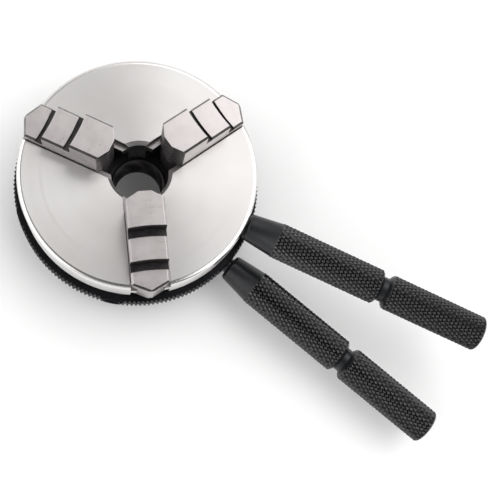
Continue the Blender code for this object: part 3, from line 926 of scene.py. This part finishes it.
def diamond_knurl(start, end):
    """A bar of four-sided pyramids between crossing spiral grooves, with its tips left proud."""
    root, tip = BAR_R - BAR_KNURL_DEPTH, BAR_R + BAR_KNURL_PROUD
    count = math.ceil((end - start) / BAR_KNURL_LENGTH) + 1
    half_turn = math.pi / BAR_KNURLS
    rows = 2 * count + 1
    verts, faces = [], []
    for k in range(rows):
        z = start + (k - 1) * BAR_KNURL_LENGTH / 2.0
        for i in range(BAR_KNURLS):
            a = (2 * i + k % 2) * half_turn
            verts.append((root * math.cos(a), root * math.sin(a), z))
    peak_rows = len(verts)
    for k in range(1, rows - 1):
        z = start + (k - 1) * BAR_KNURL_LENGTH / 2.0
        for i in range(BAR_KNURLS):
            a = (2 * i + (k + 1) % 2) * half_turn
            verts.append((tip * math.cos(a), tip * math.sin(a), z))
    for k in range(1, rows - 1):
        for i in range(BAR_KNURLS):
            peak = peak_rows + (k - 1) * BAR_KNURLS + i
            step = (k + 1) % 2
            left = k * BAR_KNURLS + (i - 1 + step) % BAR_KNURLS
            right = k * BAR_KNURLS + (i + step) % BAR_KNURLS
            below = (k - 1) * BAR_KNURLS + i
            above = (k + 1) * BAR_KNURLS + i
            faces += [[left, below, peak], [below, right, peak], [right, above, peak], [above, left, peak]]
    for k, row in ((0, 0), (rows - 1, (rows - 1) * BAR_KNURLS)):
        z = start + (k - 1) * BAR_KNURL_LENGTH / 2.0
        centre = len(verts)
        verts.append((0.0, 0.0, z))
        inward = 1 if k == 0 else -1
        for i in range(BAR_KNURLS):
            a, b = row + i, row + (i + 1) % BAR_KNURLS
            other = (k + inward) * BAR_KNURLS + (i + (1 if (k % 2) else 0)) % BAR_KNURLS
            faces += [[a, b, other], [a, b, centre]]
    return mesh_object("diamonds", verts, faces)


def bar_envelope(name):
    """The bar as it is turned, from its pin's end to its free end, with the neck's foot at height 0."""
    groove = NECK_LENGTH + LONG_KNURL
    short = groove + GROOVE_LENGTH
    end = short + SHORT_KNURL
    rounded = arc((BAR_R - BAR_END_ROUND, end - BAR_END_ROUND), BAR_END_ROUND, 90.0, 0.0, 8)
    corner = arc((NECK_R - NECK_ROUND, NECK_ROUND), NECK_ROUND, 0.0, -90.0, 8)
    profile = [
        (0.0, end),
        *rounded,
        (BAR_R, short + GROOVE_SHOULDER),
        (BAR_R - GROOVE_SHOULDER, short),
        (GROOVE_R + GROOVE_CORNER, short - KNURL_RAMP),
        (GROOVE_R, short - KNURL_RAMP - GROOVE_CORNER),
        (GROOVE_R, groove + KNURL_RAMP + GROOVE_CORNER),
        (GROOVE_R + GROOVE_CORNER, groove + KNURL_RAMP),
        (BAR_R - GROOVE_SHOULDER, groove),
        (BAR_R, groove - GROOVE_SHOULDER),
        (BAR_R, NECK_LENGTH + KNURL_RAMP),
        (NECK_END_R, NECK_LENGTH),
        *corner,
        (PIN_R, 0.0),
        (PIN_R, EDGE_BREAK - PIN_LENGTH),
        (PIN_R - EDGE_BREAK, -PIN_LENGTH),
        (0.0, -PIN_LENGTH),
    ]
    return turned(name, profile, 96)


def bar_piece(node, angle_deg, height, rim_r, gap, lean_deg, knurl, smooth):
    """The turned bar, with its two knurled lengths cut by the pyramids.

    The gap is between the rim and the neck, and a bar that leans turns about the middle of its pin.
    """
    groove = NECK_LENGTH + LONG_KNURL
    short = groove + GROOVE_LENGTH
    end = short + SHORT_KNURL
    bar = bar_envelope(f"knurled_{node}")
    spans = (
        (NECK_LENGTH + LONG_KNURL_MARGINS[0], groove - LONG_KNURL_MARGINS[1]),
        (short + SHORT_KNURL_MARGINS[0], end - SHORT_KNURL_MARGINS[1]),
    )
    waste, short_waste = [rod("sleeve", BAR_R + OVERCUT, low, high, 64) for low, high in spans]
    rough = diamond_knurl(NECK_LENGTH - KNURL_RUN_IN, end + KNURL_RUN_OUT)
    combine(waste, [short_waste], "UNION")
    combine(waste, [rough])
    combine(bar, [waste])
    middle = shift(0.0, 0.0, rim_r - PIN_LENGTH / 2.0)
    lean = Matrix.Rotation(math.radians(lean_deg), 4, "X")
    out = shift(0.0, 0.0, gap + PIN_LENGTH / 2.0)
    looks = []
    for face in bar.data.polygons:
        r = math.hypot(face.center.x, face.center.y) / MM
        past_neck = face.center.z / MM > NECK_LENGTH - CLOSE
        looks.append(BAR_KNURLED if past_neck and r > BAR_KNURLED_FROM_R else BAR_SMOOTH)
    placed(bar, spoke(angle_deg, height) @ middle @ lean @ out)
    finished(bar, node, [smooth, knurl], [node], BAR_SHARP)
    for face, look in zip(bar.data.polygons, looks):
        face.material_index = look


# Set


def camera():
    """The photograph's viewpoint: above the chuck and a little towards its first jaw."""
    eye = AXIS + Vector(CAMERA_PLACE) * MM
    look = Vector(CAMERA_LOOK)
    up = Vector(CAMERA_UP)
    side = look.cross(up).normalized()
    turn = Matrix((side, side.cross(look), -look)).transposed().to_4x4()
    data = bpy.data.cameras.new("camera")
    data.sensor_fit = "HORIZONTAL"
    data.angle = math.radians(CAMERA_WIDTH_DEG)
    data.shift_x, data.shift_y = CAMERA_SHIFT
    data.clip_start, data.clip_end = CAMERA_CLIP_M
    obj = bpy.data.objects.new("camera", data)
    obj.matrix_world = Matrix.Translation(eye) @ turn
    bpy.context.scene.collection.objects.link(obj)
    bpy.context.scene.camera = obj


def lamp(name, place, size, power):
    data = bpy.data.lights.new(name, "AREA")
    data.shape = "RECTANGLE"
    data.size, data.size_y = size
    data.energy = power
    obj = bpy.data.objects.new(name, data)
    eye = AXIS + Vector(place) * MM
    aim = AXIS + Vector(LAMP_TARGET) * MM - eye
    obj.location = eye
    obj.rotation_euler = aim.to_track_quat("-Z", "Y").to_euler()
    bpy.context.scene.collection.objects.link(obj)


def floor():
    """A sheet of pale paper that curves up far behind the object on every side."""
    n = Nodes("paper")
    n.set(Roughness=0.9, Specular_IOR_Level=0.1, Emission_Color=(1.0, 1.0, 1.0), Emission_Strength=0.05)
    n.colours(n.noise(n.position(), scale=3.0), (0.93, 0.93, 0.93), (0.95, 0.95, 0.95))
    cove = arc((PAPER_R, PAPER_COVE_R), PAPER_COVE_R, -90.0, 0.0, 16)
    paper = turned("floor", [(0.0, 0.0)] + cove)
    paper.data.materials.append(n.material)
    paper.data.shade_smooth()


def world():
    """A soft studio: broad light from above and behind, bright spots high on the right, a weak left side."""
    made = bpy.data.worlds.new("studio")
    made.use_nodes = True
    tree = made.node_tree
    background = tree.nodes["Background"]
    direction = tree.nodes.new("ShaderNodeTexCoord").outputs["Generated"]
    total = None
    for way, start, full, strength in WORLD_LOBES:
        facing = tree.nodes.new("ShaderNodeVectorMath")
        facing.operation = "DOT_PRODUCT"
        facing.inputs[1].default_value = Vector(way).normalized()
        tree.links.new(direction, facing.inputs[0])
        lobe = tree.nodes.new("ShaderNodeMapRange")
        lobe.interpolation_type = "SMOOTHSTEP"
        lobe.inputs["From Min"].default_value = start
        lobe.inputs["From Max"].default_value = full
        lobe.inputs["To Max"].default_value = strength
        tree.links.new(facing.outputs["Value"], lobe.inputs["Value"])
        if total is None:
            total = lobe.outputs[0]
            continue
        together = tree.nodes.new("ShaderNodeMath")
        together.operation = "ADD"
        tree.links.new(total, together.inputs[0])
        tree.links.new(lobe.outputs[0], together.inputs[1])
        total = together.outputs[0]
    tree.links.new(total, background.inputs["Strength"])
    background.inputs["Color"].default_value = WORLD_COLOUR
    bpy.context.scene.world = made


camera()
floor()
world()
for name, place, size, power in LAMPS:
    lamp(name, place, size, power)
bpy.context.scene.view_settings.view_transform = "Standard"

steel = turned_steel("turned_face", smooth=0.29, rough=0.36, anisotropic=0.75)
rim_steel = turned_steel("turned_rim", smooth=0.12, rough=0.18, anisotropic=0.3)
mouth_steel = turned_steel("turned_mouth", smooth=0.42, rough=0.52, anisotropic=0.0)
# Painted shade, the darkest tone: slot walls, bore, hub and underside of the body, and the jaws' relief
# grooves, their parts down in the slots and their chamfers facing the front.
painted_shade = painted_shade_steel("painted_shade_steel", (0.042, 0.039, 0.040), (0.088, 0.082, 0.083))
# Painted shade, a lighter tone: the jaws' other chamfers and noses, and the spindle thread down in the bore.
shaded_edge_steel = painted_shade_steel("edge_steel", (0.17, 0.16, 0.16), (0.25, 0.24, 0.24))
# Painted light: the front jaw's chamfers and nose are a lighter tone than those of the other jaws.
lit_edge_steel = painted_shade_steel("lit_edge_steel", (0.36, 0.34, 0.34), (0.44, 0.42, 0.42))
jaw_steel = ground_steel("jaw_ground", False, (0.60, 0.56, 0.56), (0.68, 0.64, 0.64))
# A darker copy of the jaws' ground steel, painted shade: the jaws' side faces and the body's rib tops in the
# slots.
jaw_side = ground_steel("jaw_side", True, (0.44, 0.41, 0.41), (0.54, 0.51, 0.51))
black = black_oxide(
    "black_oxide_smooth", (0.006, 0.007, 0.009), (0.011, 0.012, 0.014), rough=0.34, gloss=0.38
)
knurl_black = black_oxide(
    "black_oxide_knurl", (0.001, 0.001, 0.002), (0.004, 0.004, 0.004), rough=0.19, gloss=0.66
)
ring_black = black_oxide(
    "black_oxide_ring", (0.004, 0.004, 0.005), (0.009, 0.009, 0.011), rough=0.46, gloss=0.12
)

body_piece(steel, jaw_side, painted_shade, rim_steel, mouth_steel, shaded_edge_steel)
ring_piece(ring_black)
plate_piece(ring_black, shaded_edge_steel)
for number in range(JAWS):
    # The first jaw's edges take the lighter painted tone.
    jaw_piece(number, jaw_steel, jaw_side, shaded_edge_steel if number else lit_edge_steel, painted_shade)
    screw_piece(number, black)
bar_piece("body_bar", BODY_BAR_DEG, BODY_BAR_Z, BODY_R, BODY_BAR_GAP, 0.0, knurl_black, black)
bar_piece("ring_bar", RING_HOLE_DEG, RING_BAR_Z, RING_R, RING_BAR_GAP, RING_BAR_LEAN_DEG, knurl_black, black)
